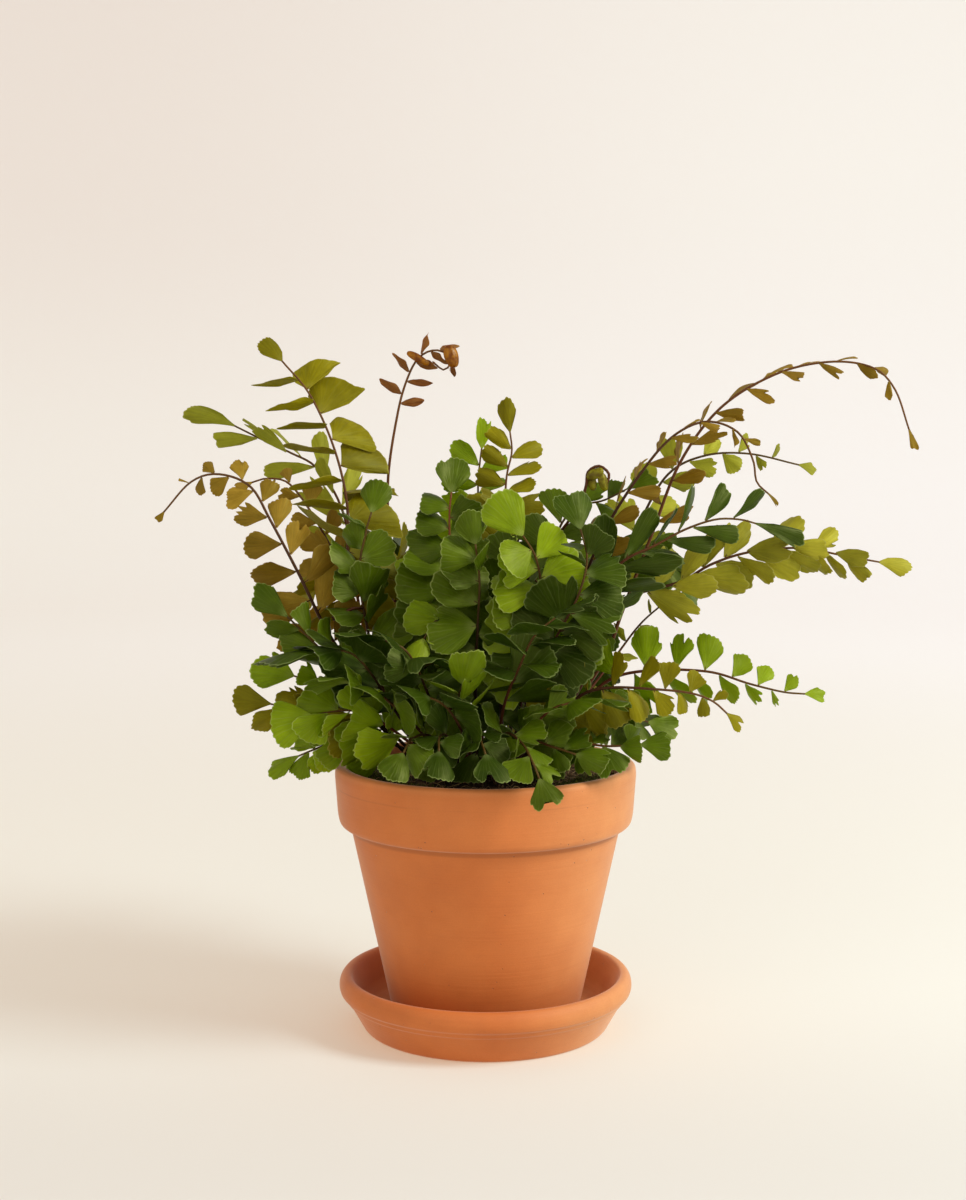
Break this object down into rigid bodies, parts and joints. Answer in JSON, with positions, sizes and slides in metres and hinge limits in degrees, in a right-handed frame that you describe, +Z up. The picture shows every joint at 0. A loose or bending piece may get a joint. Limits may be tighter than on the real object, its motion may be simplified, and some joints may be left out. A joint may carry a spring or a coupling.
{
  "type": "potted mahogany fern",
  "caption": "Young mahogany fern with arching fronds of fan-shaped leaflets, in a plain terracotta pot that stands in its saucer.",
  "frame": {"origin": "centre of the saucer's underside, on the surface that it stands on", "axes": "+Z up along the pot's axis; +X to the right of the picture's view; -Y towards the picture's camera"},
  "size_m": [0.3826, 0.2318, 0.3585],
  "materials": {
    "clay": "matte",
    "soil": "matte",
    "stalk": "satin",
    "deep_leaf": "satin",
    "green_leaf": "satin",
    "fresh_leaf": "satin",
    "olive_leaf": "satin",
    "pale_leaf": "satin",
    "bronze_leaf": "satin",
    "mahogany_leaf": "satin"
  },
  "bodies": {
    "root": {"saucer": "clay", "pot": "clay", "potting_soil": "soil", "crown": "stalk", "tall_olive_frond": "olive_leaf", "arching_bronze_frond": "bronze_leaf", "tall_arching_frond": "bronze_leaf", "crosier_frond": "mahogany_leaf", "bronze_left_frond": "bronze_leaf", "bronze_inner_frond": "bronze_leaf", "pale_left_frond": "pale_leaf", "upright_olive_frond": "olive_leaf", "upright_green_frond": "fresh_leaf", "red_stalk_frond": "green_leaf", "bright_fan_frond": "fresh_leaf", "red_side_frond": "green_leaf", "light_rear_frond": "pale_leaf", "strap_leaf_frond": "deep_leaf", "long_olive_frond": "olive_leaf", "thin_side_frond": "pale_leaf", "olive_front_frond": "olive_leaf", "green_right_frond": "fresh_leaf", "low_right_frond": "green_leaf", "rim_right_frond": "green_leaf", "bright_front_frond": "fresh_leaf", "broad_left_frond": "deep_leaf", "small_left_frond": "green_leaf", "olive_low_left_frond": "olive_leaf", "rim_left_frond": "fresh_leaf", "bright_low_left_frond": "fresh_leaf", "front_rim_frond_1": "green_leaf", "front_rim_frond_2": "deep_leaf", "front_rim_frond_3": "deep_leaf", "front_rim_frond_4": "green_leaf", "front_rim_frond_5": "green_leaf", "dark_right_frond": "deep_leaf", "dark_centre_frond": "deep_leaf", "dark_left_frond": "deep_leaf", "mid_left_frond": "green_leaf", "low_left_inner_frond": "green_leaf", "low_centre_frond": "deep_leaf", "low_right_inner_frond": "green_leaf", "mid_centre_frond": "green_leaf", "far_left_low_frond": "fresh_leaf", "heart_frond_1": "green_leaf", "heart_frond_2": "fresh_leaf", "heart_frond_3": "green_leaf", "heart_frond_4": "deep_leaf", "heart_frond_5": "fresh_leaf", "heart_frond_6": "green_leaf", "back_frond_1": "green_leaf", "back_frond_2": "deep_leaf", "back_frond_3": "green_leaf", "back_frond_4": "olive_leaf", "back_frond_5": "deep_leaf", "back_frond_6": "green_leaf", "back_frond_7": "deep_leaf", "back_frond_8": "green_leaf", "back_frond_9": "olive_leaf"}
  },
  "joints": []
}
